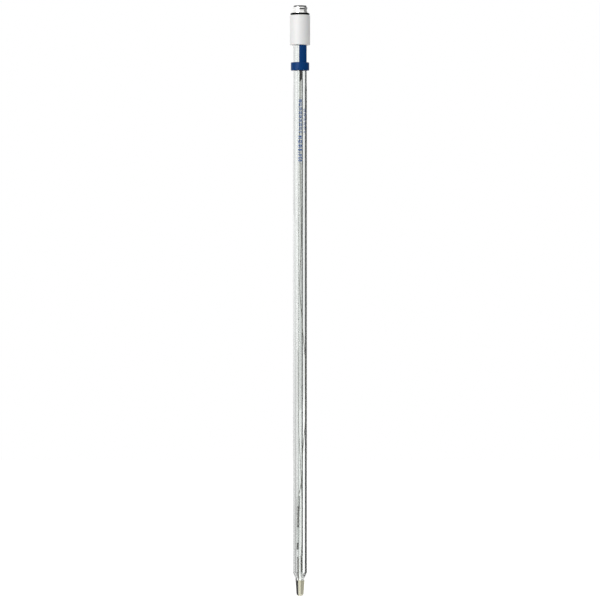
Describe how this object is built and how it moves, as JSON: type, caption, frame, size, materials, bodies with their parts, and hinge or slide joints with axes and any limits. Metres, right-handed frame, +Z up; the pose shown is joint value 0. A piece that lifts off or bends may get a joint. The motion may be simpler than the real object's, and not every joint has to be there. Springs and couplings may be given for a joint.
{
  "type": "ph electrode",
  "caption": "Long glass combination pH electrode with a glass membrane tip, an inner stem, a reference cartridge, a sliding refill cover and a coaxial plug head.",
  "frame": {"origin": "tip of the glass membrane, on the shaft's axis", "axes": "+Z runs up the shaft's axis from the membrane to the connector, and -Y is the front"},
  "size_m": [0.0172, 0.0172, 0.5042],
  "materials": {
    "shaft_glass": "gloss",
    "membrane_glass": "gloss",
    "junction_ceramic": "matte",
    "plug_fibre": "matte",
    "silver_chloride": "matte",
    "silver_wire": "satin",
    "black_sleeve": "satin",
    "seal_rubber": "matte",
    "cap_plastic": "satin",
    "potting_resin": "gloss",
    "shell_metal": "polished",
    "insulator_plastic": "gloss",
    "contact_brass": "polished",
    "ring_rubber": "satin",
    "slider_plastic": "gloss"
  },
  "bodies": {
    "electrode": {"ph_membrane": "membrane_glass", "outer_shaft": "shaft_glass", "inner_stem": "shaft_glass", "junction_pin": "junction_ceramic", "cartridge_tube": "shaft_glass", "cartridge_plug": "plug_fibre", "silver_chloride_fill": "silver_chloride", "reference_wire": "silver_wire", "wire_sleeve": "black_sleeve", "lead_off_wire": "silver_wire", "lead_off_element": "silver_chloride", "shaft_seal": "seal_rubber", "stem_stopper": "seal_rubber", "head_cap": "cap_plastic", "head_potting": "potting_resin", "connector_shell": "shell_metal", "connector_insulator": "insulator_plastic", "centre_contact": "contact_brass", "sealing_ring": "ring_rubber"},
    "slider": {"refill_slider": "slider_plastic", "slider_seal": "seal_rubber"}
  },
  "joints": [
    {"name": "slider_travel", "type": "slide", "parent": "electrode", "child": "slider", "axis": [0, 0, -1], "range_m": [0, 0.012]}
  ]
}
